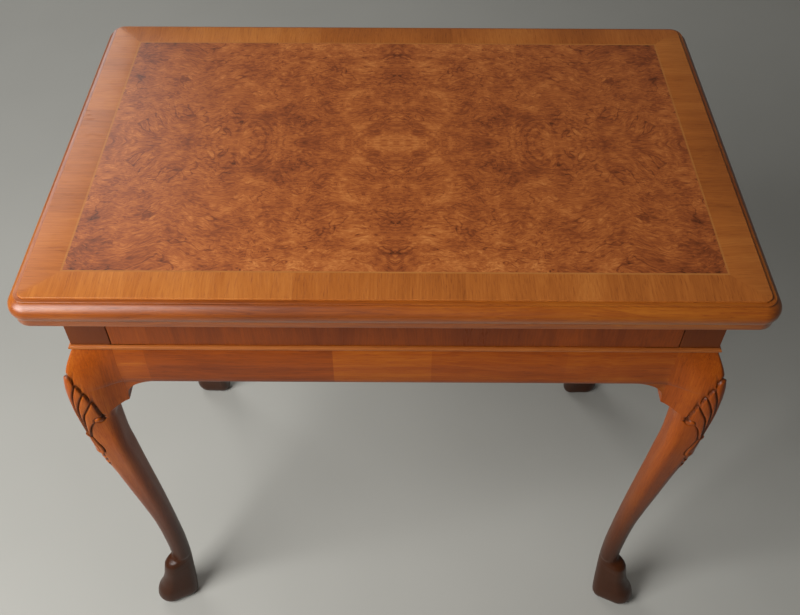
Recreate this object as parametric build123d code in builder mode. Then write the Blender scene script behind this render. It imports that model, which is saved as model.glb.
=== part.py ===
from build123d import *
import math
import os

# A walnut side table for board games, in the cabriole-leg style: a moulded top that lifts off a shallow playing
# well, over a frieze with one full-width drawer. Millimetres, +Z up, the front faces -Y, and the origin is on
# the floor under the middle of the table.

os.makedirs("parts", exist_ok=True)

# Overall sizes
TOP_LENGTH = 762.0
TOP_DEPTH = 508.0
TABLE_HEIGHT = 737.0

# Top: a veneered field with a moulding round it
MOULDING_REACH = 13.0
EDGE_HEIGHT = 32.0
FIELD_STEP = 2.0
BAND_WIDTH = 5.0
QUIRK_DEPTH = 1.5
BULLNOSE_HEIGHT = 24.5
BULLNOSE_FLAT = 0.1
FILLET_SETBACK = 3.5
FIELD_CORNER = 9.0
CORE_THICKNESS = 18.0
TONGUE_WIDTH = 52.0
VENEER = 1.0
BORDER_WIDTH = 35.0
STRINGING_WIDTH = 2.0
PEG_DIAMETER = 8.0
PEG_LENGTH = 11.0
PEG_DEPTH = 8.0
PEG_CHAMFER = 1.0
PEG_CLEARANCE = 0.4
PEG_HOLE_SPARE = 1.0
GLUE_GAP = 0.1
TOP_SEAT_GAP = 0.3

# Frame: posts, frieze, bead and apron
FRONT_OVERHANG = 29.0
SIDE_OVERHANG = 19.0
POST = 43.0
BOARD = 20.0
APRON_REBATE = 5.0
FRIEZE_HEIGHT = 75.5
APRON_HEIGHT = 63.5
BEAD_RADIUS = 3.0

# Legs
BRACKET_DROP = 33.0
BRACKET_CUSP = 4.0
BLOCK_LENGTH = 36.0
KNEE_SWELL = 19.2
GLIDE_THICKNESS = 2.0
GLIDE_DIAMETER = 22.0

# Drawer
DRAWER_HEIGHT = 34.5
DRAWER_GAP = 1.2
DRAWER_FRONT = 18.0
DRAWER_LENGTH = 300.0
DRAWER_SIDE = 10.0
DRAWER_BOTTOM = 4.0
DRAWER_BACK = 10.0
SIDE_CLEARANCE = 0.5
FRONT_CLEARANCE = 1.0
SIDE_DROP = 4.0
RUNNER_RISE = 2.0
RUNNER_CLEARANCE = 0.4
RUNNER_LIP = 14.0
RUNNER_BELOW = 17.5
GROOVE = 4.0
GROOVE_ABOVE = 2.0
BAIZE = 1.0

# Playing well
WELL_FLOOR = 6.0
FLOOR_ABOVE_DRAWER = 2.0
FIELD_LINING = 1.2
POINT_THICKNESS = 0.8
POINT_LENGTH = 140.0
POINT_SIDE_GAP = 1.0
POINTS_A_SIDE = 6
BAR_WIDTH = 30.0
BAR_HEIGHT = 26.0
BAR_ROUND = 3.0

# Corner braces and their screws
BRACE_THICKNESS = 22.0
BRACE_HEIGHT = 36.0
SCREW_DIAMETER = 5.0
SCREW_HEAD = 10.0
SCREW_HEAD_HEIGHT = 3.0
SCREW_DEPTH = 18.0
SCREW_HOLE_SPARE = 1.0
BRACE_CLEARANCE = 1.0
BRACE_UNDER_RUNNER = 4.0

# Places worked out from the sizes
FIELD_X = TOP_LENGTH / 2 - MOULDING_REACH
FIELD_Y = TOP_DEPTH / 2 - MOULDING_REACH
FACE_X = FIELD_X - SIDE_OVERHANG
FACE_Y = FIELD_Y - FRONT_OVERHANG
POST_X = FACE_X - POST / 2
POST_Y = FACE_Y - POST / 2
INNER_X = FACE_X - POST
INNER_Y = FACE_Y - POST
TOP_UNDER = TABLE_HEIGHT - EDGE_HEIGHT
FRAME_TOP = TOP_UNDER - TOP_SEAT_GAP
APRON_TOP = TOP_UNDER - FRIEZE_HEIGHT
APRON_UNDER = APRON_TOP - APRON_HEIGHT
BEAD_MIDDLE = APRON_TOP - BEAD_RADIUS
KNEE_TOP = APRON_TOP - 2 * BEAD_RADIUS
KNEE_NOSE = APRON_UNDER - BRACKET_DROP
VENEER_UNDER = TABLE_HEIGHT - VENEER
CORE_UNDER = VENEER_UNDER - CORE_THICKNESS
DRAWER_OPENING_TOP = APRON_TOP + DRAWER_HEIGHT
FLOOR_UNDER = DRAWER_OPENING_TOP + FLOOR_ABOVE_DRAWER
FLOOR_TOP = FLOOR_UNDER + WELL_FLOOR
BACK_X = FACE_X - BOARD
BACK_Y = FACE_Y - BOARD
RUNNER_UNDER = APRON_TOP - RUNNER_BELOW
RUNNER_TOP = APRON_TOP + RUNNER_RISE
BRACE_TOP = RUNNER_UNDER - BRACE_UNDER_RUNNER
BRACE_START = (BACK_X - INNER_X) + (BACK_Y - INNER_Y) + BRACE_CLEARANCE
BRACE_END = BRACE_START + BRACE_THICKNESS * math.sqrt(2)
BRACE_MIDDLE = (BRACE_START + BRACE_END) / 2

SIDES = ("front", "back", "left", "right")
CORNERS = {
    "front_left": (-1, -1),
    "front_right": (1, -1),
    "back_left": (-1, 1),
    "back_right": (1, 1),
}


def write_part(part, label):
    """Label a finished piece and write its file."""
    part.label = label
    export_step(part, f"parts/{label}.step")


# ---------------------------------------------------------------- top

FIELD_WIDTH = 2 * FIELD_X
FIELD_DEPTH = 2 * FIELD_Y
BULLNOSE_TOP = TABLE_HEIGHT - FIELD_STEP - QUIRK_DEPTH
BULLNOSE_UNDER = BULLNOSE_TOP - BULLNOSE_HEIGHT
OUTER_CORNER = FIELD_CORNER + MOULDING_REACH
BULLNOSE_RADIUS = (BULLNOSE_HEIGHT - BULLNOSE_FLAT) / 2
FILLET_HEIGHT = BULLNOSE_UNDER - TOP_UNDER
FILLET_LAP = BULLNOSE_HEIGHT / 4
PEG_TOP = TOP_UNDER + PEG_DEPTH
PEG_BOTTOM = PEG_TOP - PEG_LENGTH - PEG_DEPTH

with BuildPart() as moulding_ring:
    with BuildSketch(Plane.XY.offset(BULLNOSE_UNDER)):
        RectangleRounded(TOP_LENGTH, TOP_DEPTH, OUTER_CORNER)
    extrude(amount=BULLNOSE_HEIGHT)
    rims = moulding_ring.faces().sort_by(Axis.Z)
    fillet(rims[-1].edges() + rims[0].edges(), radius=BULLNOSE_RADIUS)
    with BuildSketch(Plane.XY.offset(TOP_UNDER)):
        RectangleRounded(
            TOP_LENGTH - 2 * FILLET_SETBACK,
            TOP_DEPTH - 2 * FILLET_SETBACK,
            OUTER_CORNER - FILLET_SETBACK,
        )
    extrude(amount=FILLET_HEIGHT + FILLET_LAP)
    with BuildSketch(Plane.XY.offset(BULLNOSE_UNDER)):
        RectangleRounded(
            FIELD_WIDTH + 2 * BAND_WIDTH,
            FIELD_DEPTH + 2 * BAND_WIDTH,
            FIELD_CORNER + BAND_WIDTH,
        )
    extrude(amount=BULLNOSE_HEIGHT + QUIRK_DEPTH)
    with BuildSketch(Plane.XY.offset(CORE_UNDER)):
        RectangleRounded(FIELD_WIDTH, FIELD_DEPTH, FIELD_CORNER)
    extrude(amount=EDGE_HEIGHT, mode=Mode.SUBTRACT)
    with BuildSketch(Plane.XY.offset(TOP_UNDER)):
        Rectangle(FIELD_WIDTH - 2 * TONGUE_WIDTH, FIELD_DEPTH - 2 * TONGUE_WIDTH)
    extrude(amount=EDGE_HEIGHT, mode=Mode.SUBTRACT)
    with Locations(
        *[(sx * POST_X, sy * POST_Y, TOP_UNDER) for sx, sy in CORNERS.values()]
    ):
        Cylinder(
            PEG_DIAMETER / 2 + GLUE_GAP,
            PEG_DEPTH,
            align=(Align.CENTER, Align.CENTER, Align.MIN),
            mode=Mode.SUBTRACT,
        )


def side_plan(side, half_x, half_y):
    """The plan of one side of a rectangular frame, mitred at 45 degrees through the rectangle's corners."""
    if side in ("front", "back"):
        sign = 1 if side == "back" else -1
        flat = half_x - half_y
        return [
            (-half_x, sign * half_y),
            (half_x, sign * half_y),
            (flat, 0),
            (-flat, 0),
        ]
    sign = 1 if side == "right" else -1
    return [
        (sign * half_x, -half_y),
        (sign * half_x, half_y),
        (sign * (half_x - half_y), 0),
    ]


for side in SIDES:
    with BuildPart() as edge_moulding:
        with BuildSketch(Plane.XY.offset(TOP_UNDER)):
            with BuildLine():
                Polyline(*side_plan(side, TOP_LENGTH / 2, TOP_DEPTH / 2), close=True)
            make_face()
        extrude(amount=EDGE_HEIGHT)
        add(moulding_ring.part, mode=Mode.INTERSECT)
    write_part(edge_moulding.part, f"edge_moulding_{side}")

with BuildPart() as top_core:
    with BuildSketch(Plane.XY.offset(CORE_UNDER)):
        RectangleRounded(FIELD_WIDTH, FIELD_DEPTH, FIELD_CORNER)
    extrude(amount=CORE_THICKNESS)
write_part(top_core.part, "top_core")

BURL_X = FIELD_X - BORDER_WIDTH - STRINGING_WIDTH
BURL_Y = FIELD_Y - BORDER_WIDTH - STRINGING_WIDTH

for corner, (sx, sy) in CORNERS.items():
    with BuildPart() as burl_leaf:
        with BuildSketch(Plane.XY.offset(VENEER_UNDER)):
            with Locations((sx * BURL_X / 2, sy * BURL_Y / 2)):
                Rectangle(BURL_X, BURL_Y)
        extrude(amount=VENEER)
    write_part(burl_leaf.part, f"burl_veneer_{corner}")

STRING_X = BURL_X + STRINGING_WIDTH
STRING_Y = BURL_Y + STRINGING_WIDTH
with BuildPart() as stringing:
    with BuildSketch(Plane.XY.offset(VENEER_UNDER)):
        with Locations((0, BURL_Y + STRINGING_WIDTH / 2), (0, -BURL_Y - STRINGING_WIDTH / 2)):
            Rectangle(2 * STRING_X, STRINGING_WIDTH)
    extrude(amount=VENEER)
    with BuildSketch(Plane.XY.offset(VENEER_UNDER)):
        with Locations((BURL_X + STRINGING_WIDTH / 2, 0), (-BURL_X - STRINGING_WIDTH / 2, 0)):
            Rectangle(STRINGING_WIDTH, 2 * BURL_Y)
    extrude(amount=VENEER, mode=Mode.ADD)
write_part(stringing.part, "stringing")

with BuildPart() as border:
    with BuildSketch(Plane.XY.offset(VENEER_UNDER)):
        RectangleRounded(FIELD_WIDTH, FIELD_DEPTH, FIELD_CORNER)
        Rectangle(2 * STRING_X, 2 * STRING_Y, mode=Mode.SUBTRACT)
    extrude(amount=VENEER)

for side in SIDES:
    with BuildPart() as crossband:
        with BuildSketch(Plane.XY.offset(VENEER_UNDER)):
            with BuildLine():
                Polyline(*side_plan(side, TOP_LENGTH / 2, TOP_DEPTH / 2), close=True)
            make_face()
        extrude(amount=VENEER)
        add(border.part, mode=Mode.INTERSECT)
    write_part(crossband.part, f"crossband_{side}")

with BuildPart() as locating_pegs:
    with Locations(
        *[(sx * POST_X, sy * POST_Y, PEG_BOTTOM) for sx, sy in CORNERS.values()]
    ):
        Cylinder(
            PEG_DIAMETER / 2,
            PEG_LENGTH + PEG_DEPTH,
            align=(Align.CENTER, Align.CENTER, Align.MIN),
        )
    peg_tips = locating_pegs.faces().group_by(Axis.Z)[0].edges()
    chamfer(peg_tips, length=PEG_CHAMFER)
write_part(locating_pegs.part, "locating_pegs")

# ---------------------------------------------------------------- legs

# Cabriole leg below the bracket. Each station is a rounded square: its height as a share of the height of the
# bracket's nose, the reach of its outer and inner faces from the middle of the post along X and along Y, and
# its corner radius.
LEG_STATIONS = [
    (1.0, 40.7, -8.0, 40.7, -8.0, 10.0),
    (0.935, 39.8, -0.6, 39.8, -0.6, 11.0),
    (0.85, 38.2, -1.1, 38.2, -1.1, 12.0),
    (0.75, 33.3, -3.7, 33.3, -3.7, 12.8),
    (0.62, 26.0, -7.4, 26.0, -7.4, 13.2),
    (0.47, 18.2, -11.4, 18.2, -11.4, 12.9),
    (0.32, 12.8, -14.4, 12.8, -14.4, 12.6),
    (0.21, 12.0, -15.4, 12.0, -15.4, 12.4),
    (0.16, 22.0, -15.3, 19.0, -14.0, 13.0),
    (0.12, 32.0, -14.9, 27.0, -11.5, 14.5),
    (0.07, 41.0, -14.7, 33.0, -8.0, 17.0),
    (0.034, 46.0, -14.3, 36.0, -5.0, 19.0),
]
FOOT_SOLE = (42.0, -11.0, 33.0, -2.0, 16.0)

# Knee between the bracket's nose and the bead. Each station is a share of the way up, a share of the swell
# that the outer faces have there, and the corner radius.
KNEE_STATIONS = [
    (0.0, 1.0, 10.0),
    (0.33, 0.97, 9.0),
    (0.6, 0.8, 7.0),
    (0.82, 0.48, 4.0),
    (1.0, 0.03, 1.5),
]


def knee_sections():
    """The knee's rounded squares from the nose up: height, outer reach, inner reach and corner radius."""
    for share, swell, radius in KNEE_STATIONS:
        height = KNEE_NOSE + share * (KNEE_TOP - KNEE_NOSE)
        yield height, POST / 2 + KNEE_SWELL * swell, -POST / 2, radius


def leg_sections():
    """The leg's stations from the nose down to the sole, with heights in millimetres."""
    for share, *reaches in LEG_STATIONS:
        yield share * KNEE_NOSE, *reaches
    yield GLIDE_THICKNESS, *FOOT_SOLE


SCREW_REACH = BRACE_THICKNESS + BRACE_CLEARANCE / math.sqrt(2) + SCREW_DEPTH


def brace_plane(sx, sy):
    """The middle of a corner brace's inner face, looking out along the diagonal into the post."""
    away = BRACE_END / 2
    middle = BRACE_TOP - BRACE_HEIGHT / 2
    return Plane(origin=(sx * (BACK_X - away), sy * (BACK_Y - away), middle), z_dir=(sx, sy, 0))


for corner, (sx, sy) in CORNERS.items():
    with BuildPart() as leg:
        # The cabriole leg and its foot.
        for height, out_x, in_x, out_y, in_y, radius in leg_sections():
            middle_x = POST_X + (out_x + in_x) / 2
            middle_y = POST_Y + (out_y + in_y) / 2
            with BuildSketch(Plane.XY.offset(height)):
                with Locations((sx * middle_x, sy * middle_y)):
                    RectangleRounded(out_x - in_x, out_y - in_y, radius)
        loft()
        # The knee: inner faces straight, outer faces swelling out.
        for height, outer, inner, radius in knee_sections():
            middle_x = POST_X + (outer + inner) / 2
            middle_y = POST_Y + (outer + inner) / 2
            with BuildSketch(Plane.XY.offset(height)):
                with Locations((sx * middle_x, sy * middle_y)):
                    RectangleRounded(outer - inner, outer - inner, radius)
        loft()
        # The post, from the bead up, square and flush with the frieze.
        with BuildSketch(Plane.XY.offset(KNEE_TOP)):
            with Locations((sx * POST_X, sy * POST_Y)):
                Rectangle(POST, POST)
        extrude(amount=FRAME_TOP - KNEE_TOP)
        # The hole for the brace's screw.
        with BuildSketch(brace_plane(sx, sy)):
            Circle(SCREW_DIAMETER / 2 + GLUE_GAP)
        extrude(amount=SCREW_REACH + SCREW_HOLE_SPARE, mode=Mode.SUBTRACT)
        # The hole for the top's peg.
        with Locations((sx * POST_X, sy * POST_Y, FRAME_TOP)):
            Cylinder(
                PEG_DIAMETER / 2 + PEG_CLEARANCE,
                PEG_LENGTH + PEG_HOLE_SPARE,
                align=(Align.CENTER, Align.CENTER, Align.MAX),
                mode=Mode.SUBTRACT,
            )
    write_part(leg.part, f"leg_{corner}")

# The knee blocks run along X and along Y from each leg. Their sections are drawn across the run: outward from
# the middle of the post, and up.


def block_plane(along, sx, sy, away):
    """A plane across a block's run, `away` in from the middle of the post, its x outward and its y up."""
    if along == "x":
        origin = (sx * (POST_X - away), sy * POST_Y, 0)
        return Plane(origin=origin, x_dir=(0, sy, 0), z_dir=(sy, 0, 0))
    origin = (sx * POST_X, sy * (POST_Y - away), 0)
    return Plane(origin=origin, x_dir=(sx, 0, 0), z_dir=(0, -sx, 0))


def run_plane(along, sx, sy):
    """A plane in the block's run, its x toward the outside of the table and its y up."""
    origin = (sx * POST_X, sy * POST_Y, 0)
    if along == "x":
        return Plane(origin=origin, x_dir=(sx, 0, 0), z_dir=(0, -sx, 0))
    return Plane(origin=origin, x_dir=(0, sy, 0), z_dir=(sy, 0, 0))


BLOCK_BACK = POST / 2 - BOARD
BLOCK_FRONT = POST / 2
BLOCK_END = POST / 2 + BLOCK_LENGTH
COVE_DROP = BRACKET_DROP - BRACKET_CUSP

for corner, (sx, sy) in CORNERS.items():
    for along, face in (("x", corner.split("_")[0]), ("y", corner.split("_")[1])):
        with BuildPart() as knee_block:
            with BuildSketch(block_plane(along, sx, sy, BLOCK_END)):
                with BuildLine():
                    Polyline(
                        (BLOCK_FRONT, KNEE_TOP),
                        (BLOCK_BACK, KNEE_TOP),
                        (BLOCK_BACK, KNEE_NOSE),
                        (BLOCK_FRONT, KNEE_NOSE),
                        close=True,
                    )
                make_face()
            with BuildSketch(block_plane(along, sx, sy, POST / 2)):
                curve = [(outer, height) for height, outer, inner, radius in knee_sections()]
                with BuildLine():
                    Polyline(curve[-1], (BLOCK_BACK, KNEE_TOP), (BLOCK_BACK, KNEE_NOSE), curve[0])
                    Spline(*curve)
                make_face()
            loft()
            # The room for the apron's end.
            with BuildSketch(block_plane(along, sx, sy, POST / 2)):
                with BuildLine():
                    Polyline(
                        (BLOCK_BACK, APRON_UNDER),
                        (BLOCK_FRONT - APRON_REBATE, APRON_UNDER),
                        (BLOCK_FRONT - APRON_REBATE, KNEE_TOP),
                        (BLOCK_BACK, KNEE_TOP),
                        close=True,
                    )
                make_face()
            extrude(amount=BLOCK_LENGTH, both=True, mode=Mode.SUBTRACT)
            # The cove under the bracket.
            with BuildSketch(run_plane(along, sx, sy)):
                with BuildLine():
                    cove = EllipticalCenterArc(
                        center=(-BLOCK_END, APRON_UNDER - COVE_DROP),
                        x_radius=BLOCK_LENGTH,
                        y_radius=COVE_DROP,
                        start_angle=0,
                        arc_size=90,
                    )
                    Polyline(cove @ 1, (-BLOCK_END, KNEE_NOSE), (-POST / 2, KNEE_NOSE), cove @ 0)
                make_face()
            extrude(amount=POST + KNEE_SWELL, both=True, mode=Mode.SUBTRACT)
        write_part(knee_block.part, f"knee_block_{corner}_{face}_face")

with BuildPart() as glides:
    foot_x = POST_X + (FOOT_SOLE[0] + FOOT_SOLE[1]) / 2
    foot_y = POST_Y + (FOOT_SOLE[2] + FOOT_SOLE[3]) / 2
    with Locations(*[(sx * foot_x, sy * foot_y, 0) for sx, sy in CORNERS.values()]):
        Cylinder(
            GLIDE_DIAMETER / 2,
            GLIDE_THICKNESS,
            align=(Align.CENTER, Align.CENTER, Align.MIN),
        )
write_part(glides.part, "foot_glides")

# ---------------------------------------------------------------- frame

# Each side's board: where its middle is, its size in plan, and which way its ends point.
SPAN_X = 2 * INNER_X
SPAN_Y = 2 * INNER_Y
SIDE_BOARDS = {
    "front": (0, -(FACE_Y - BOARD / 2), SPAN_X, BOARD),
    "back": (0, FACE_Y - BOARD / 2, SPAN_X, BOARD),
    "left": (-(FACE_X - BOARD / 2), 0, BOARD, SPAN_Y),
    "right": (FACE_X - BOARD / 2, 0, BOARD, SPAN_Y),
}
SIDE_FACES = {
    "front": (0, -FACE_Y, BLOCK_LENGTH, 2 * APRON_REBATE, INNER_X - BLOCK_LENGTH / 2, 0),
    "back": (0, FACE_Y, BLOCK_LENGTH, 2 * APRON_REBATE, INNER_X - BLOCK_LENGTH / 2, 0),
    "left": (-FACE_X, 0, 2 * APRON_REBATE, BLOCK_LENGTH, 0, INNER_Y - BLOCK_LENGTH / 2),
    "right": (FACE_X, 0, 2 * APRON_REBATE, BLOCK_LENGTH, 0, INNER_Y - BLOCK_LENGTH / 2),
}

for side, (middle_x, middle_y, size_x, size_y) in SIDE_BOARDS.items():
    with BuildPart() as apron:
        with BuildSketch(Plane.XY.offset(APRON_UNDER)):
            with Locations((middle_x, middle_y)):
                Rectangle(size_x, size_y)
        extrude(amount=APRON_HEIGHT)
        # Both ends are rebated for the knee blocks.
        face_x, face_y, rebate_x, rebate_y, end_x, end_y = SIDE_FACES[side]
        with BuildSketch(Plane.XY.offset(APRON_UNDER)):
            with Locations((face_x + end_x, face_y + end_y), (face_x - end_x, face_y - end_y)):
                Rectangle(rebate_x, rebate_y)
        extrude(amount=KNEE_TOP - APRON_UNDER, mode=Mode.SUBTRACT)
    write_part(apron.part, f"apron_{side}")

    bottom = DRAWER_OPENING_TOP if side == "front" else APRON_TOP
    with BuildPart() as frieze:
        with BuildSketch(Plane.XY.offset(bottom)):
            with Locations((middle_x, middle_y)):
                Rectangle(size_x, size_y)
        extrude(amount=FRAME_TOP - bottom)
    write_part(frieze.part, "drawer_top_rail" if side == "front" else f"frieze_{side}")

BEAD_PLANES = {
    "front": (Plane.YZ, -FACE_Y, FACE_X),
    "back": (Plane.YZ, FACE_Y, FACE_X),
    "left": (Plane.XZ, -FACE_X, FACE_Y),
    "right": (Plane.XZ, FACE_X, FACE_Y),
}
BEAD_X = FACE_X + BEAD_RADIUS
BEAD_Y = FACE_Y + BEAD_RADIUS

for side, (section, face, half) in BEAD_PLANES.items():
    with BuildPart() as bead:
        with BuildSketch(section):
            with Locations((face, BEAD_MIDDLE)):
                Circle(BEAD_RADIUS)
        extrude(amount=half + BEAD_RADIUS, both=True)
        # Only the half outside the frame is kept.
        with BuildSketch(Plane.XY.offset(KNEE_TOP)):
            Rectangle(2 * FACE_X, 2 * FACE_Y)
        extrude(amount=2 * BEAD_RADIUS, mode=Mode.SUBTRACT)
        with BuildSketch(Plane.XY.offset(KNEE_TOP)):
            with BuildLine():
                Polyline(*side_plan(side, BEAD_X, BEAD_Y), close=True)
            make_face()
        extrude(amount=2 * BEAD_RADIUS, mode=Mode.INTERSECT)
    write_part(bead.part, f"waist_bead_{side}")

for side, sign in (("left", -1), ("right", 1)):
    with BuildPart() as runner:
        # The wall between the posts guides the drawer and carries the floor of the well.
        with BuildSketch(Plane.XY.offset(RUNNER_UNDER)):
            with Locations((sign * (INNER_X + BACK_X) / 2, 0)):
                Rectangle(BACK_X - INNER_X, SPAN_Y)
        extrude(amount=FLOOR_UNDER - RUNNER_UNDER)
        # The lip that the drawer's side runs on.
        with BuildSketch(Plane.XY.offset(RUNNER_UNDER)):
            with Locations((sign * (INNER_X - RUNNER_LIP / 2), 0)):
                Rectangle(RUNNER_LIP, 2 * BACK_Y)
        extrude(amount=RUNNER_TOP - RUNNER_UNDER)
    write_part(runner.part, f"drawer_runner_{side}")

with BuildPart() as corner_braces:
    for sx, sy in CORNERS.values():
        corner_x = sx * BACK_X
        corner_y = sy * BACK_Y
        with BuildSketch(Plane.XY.offset(BRACE_TOP - BRACE_HEIGHT)):
            with BuildLine():
                Polyline(
                    (corner_x - sx * BRACE_START, corner_y),
                    (corner_x - sx * BRACE_END, corner_y),
                    (corner_x, corner_y - sy * BRACE_END),
                    (corner_x, corner_y - sy * BRACE_START),
                    close=True,
                )
            make_face()
        extrude(amount=BRACE_HEIGHT)
    for sx, sy in CORNERS.values():
        with BuildSketch(brace_plane(sx, sy)):
            Circle(SCREW_DIAMETER / 2 + GLUE_GAP)
        extrude(amount=SCREW_REACH, mode=Mode.SUBTRACT)
write_part(corner_braces.part, "corner_braces")

with BuildPart() as brace_screws:
    for sx, sy in CORNERS.values():
        with BuildSketch(brace_plane(sx, sy)):
            Circle(SCREW_DIAMETER / 2)
        extrude(amount=SCREW_REACH)
        with BuildSketch(brace_plane(sx, sy)):
            Circle(SCREW_HEAD / 2)
        extrude(amount=-SCREW_HEAD_HEIGHT)
write_part(brace_screws.part, "brace_screws")

# ---------------------------------------------------------------- playing well

with BuildPart() as well_floor:
    with BuildSketch(Plane.XY.offset(FLOOR_UNDER)):
        Rectangle(2 * BACK_X, SPAN_Y)
        Rectangle(SPAN_X, 2 * BACK_Y)
    extrude(amount=WELL_FLOOR)
write_part(well_floor.part, "well_floor")

LINER_X = (INNER_X + BACK_X) / 2
LINER_Y = (INNER_Y + BACK_Y) / 2
LINERS = {
    "front": (0, -LINER_Y, SPAN_X, BACK_Y - INNER_Y),
    "back": (0, LINER_Y, SPAN_X, BACK_Y - INNER_Y),
    "left": (-LINER_X, 0, BACK_X - INNER_X, SPAN_Y),
    "right": (LINER_X, 0, BACK_X - INNER_X, SPAN_Y),
}
for side, (middle_x, middle_y, size_x, size_y) in LINERS.items():
    with BuildPart() as well_liner:
        with BuildSketch(Plane.XY.offset(FLOOR_TOP)):
            with Locations((middle_x, middle_y)):
                Rectangle(size_x, size_y)
        extrude(amount=FRAME_TOP - FLOOR_TOP)
    write_part(well_liner.part, f"well_liner_{side}")

with BuildPart() as field_lining:
    with BuildSketch(Plane.XY.offset(FLOOR_TOP)):
        Rectangle(SPAN_X, SPAN_Y)
    extrude(amount=FIELD_LINING)
write_part(field_lining.part, "field_lining")

LINING_TOP = FLOOR_TOP + FIELD_LINING
with BuildPart() as well_bar:
    with BuildSketch(Plane.XY.offset(LINING_TOP)):
        Rectangle(BAR_WIDTH, SPAN_Y)
    extrude(amount=BAR_HEIGHT)
    bar_rims = well_bar.faces().sort_by(Axis.Z)[-1].edges().filter_by(Axis.Y)
    fillet(bar_rims, radius=BAR_ROUND)
write_part(well_bar.part, "well_bar")

POINT_PITCH = (INNER_X - BAR_WIDTH / 2) / POINTS_A_SIDE
POINT_HALF = POINT_PITCH / 2 - POINT_SIDE_GAP
for colour, first in (("light", 0), ("dark", 1)):
    with BuildPart() as points:
        with BuildSketch(Plane.XY.offset(LINING_TOP)):
            for place in range(4 * POINTS_A_SIDE):
                across, row = divmod(place, 2)
                if (across + row + first) % 2:
                    continue
                half, step = divmod(across, POINTS_A_SIDE)
                start = -INNER_X if half == 0 else BAR_WIDTH / 2
                middle = start + (step + 0.5) * POINT_PITCH
                edge = INNER_Y if row else -INNER_Y
                inward = -1 if row else 1
                with BuildLine():
                    Polyline(
                        (middle - POINT_HALF, edge),
                        (middle + POINT_HALF, edge),
                        (middle, edge + inward * POINT_LENGTH),
                        close=True,
                    )
                make_face()
        extrude(amount=POINT_THICKNESS)
    write_part(points.part, f"points_{colour}")

# ---------------------------------------------------------------- drawer

FRONT_HALF = INNER_X - DRAWER_GAP
SIDE_OUTER = FRONT_HALF - SIDE_CLEARANCE
SIDE_INNER = SIDE_OUTER - DRAWER_SIDE
FRONT_UNDER = APRON_TOP + FRONT_CLEARANCE
FRONT_TOP = DRAWER_OPENING_TOP - FRONT_CLEARANCE
SIDE_UNDER = RUNNER_TOP + RUNNER_CLEARANCE
SIDE_TOP = DRAWER_OPENING_TOP - SIDE_DROP
BOTTOM_UNDER = SIDE_UNDER + GROOVE_ABOVE
BOTTOM_TOP = BOTTOM_UNDER + DRAWER_BOTTOM
FRONT_BACK = -FACE_Y + DRAWER_FRONT
DRAWER_END = -FACE_Y + DRAWER_LENGTH
BACK_INSIDE = DRAWER_END - DRAWER_BACK

with BuildPart() as drawer_veneer:
    with BuildSketch(Plane.XY.offset(FRONT_UNDER)):
        with Locations((0, -FACE_Y + VENEER / 2)):
            Rectangle(2 * FRONT_HALF, VENEER)
    extrude(amount=FRONT_TOP - FRONT_UNDER)
write_part(drawer_veneer.part, "drawer_front_veneer")

with BuildPart() as drawer_bottom:
    with BuildSketch(Plane.XY.offset(BOTTOM_UNDER)):
        with Locations((0, (FRONT_BACK - GROOVE + DRAWER_END) / 2)):
            Rectangle(2 * (SIDE_INNER + GROOVE), DRAWER_END - FRONT_BACK + GROOVE)
    extrude(amount=DRAWER_BOTTOM)
write_part(drawer_bottom.part, "drawer_bottom")

with BuildPart() as drawer_front:
    with BuildSketch(Plane.XY.offset(FRONT_UNDER)):
        with Locations((0, (FRONT_BACK - FACE_Y + VENEER) / 2)):
            Rectangle(2 * FRONT_HALF, DRAWER_FRONT - VENEER)
    extrude(amount=FRONT_TOP - FRONT_UNDER)
    add(drawer_bottom.part, mode=Mode.SUBTRACT)
write_part(drawer_front.part, "drawer_front")

for side, sign in (("left", -1), ("right", 1)):
    with BuildPart() as drawer_side:
        with BuildSketch(Plane.XY.offset(SIDE_UNDER)):
            with Locations((sign * (SIDE_OUTER + SIDE_INNER) / 2, (FRONT_BACK + DRAWER_END) / 2)):
                Rectangle(DRAWER_SIDE, DRAWER_END - FRONT_BACK)
        extrude(amount=SIDE_TOP - SIDE_UNDER)
        add(drawer_bottom.part, mode=Mode.SUBTRACT)
    write_part(drawer_side.part, f"drawer_side_{side}")

with BuildPart() as drawer_back:
    with BuildSketch(Plane.XY.offset(BOTTOM_TOP)):
        with Locations((0, DRAWER_END - DRAWER_BACK / 2)):
            Rectangle(2 * SIDE_INNER, DRAWER_BACK)
    extrude(amount=SIDE_TOP - BOTTOM_TOP)
write_part(drawer_back.part, "drawer_back")

with BuildPart() as drawer_lining:
    with BuildSketch(Plane.XY.offset(BOTTOM_TOP)):
        with Locations((0, (FRONT_BACK + BACK_INSIDE) / 2)):
            Rectangle(2 * SIDE_INNER, BACK_INSIDE - FRONT_BACK)
    extrude(amount=BAIZE)
write_part(drawer_lining.part, "drawer_lining")
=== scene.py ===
import math

import bmesh
import bpy
import numpy as np
from mathutils import Matrix, Vector


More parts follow.
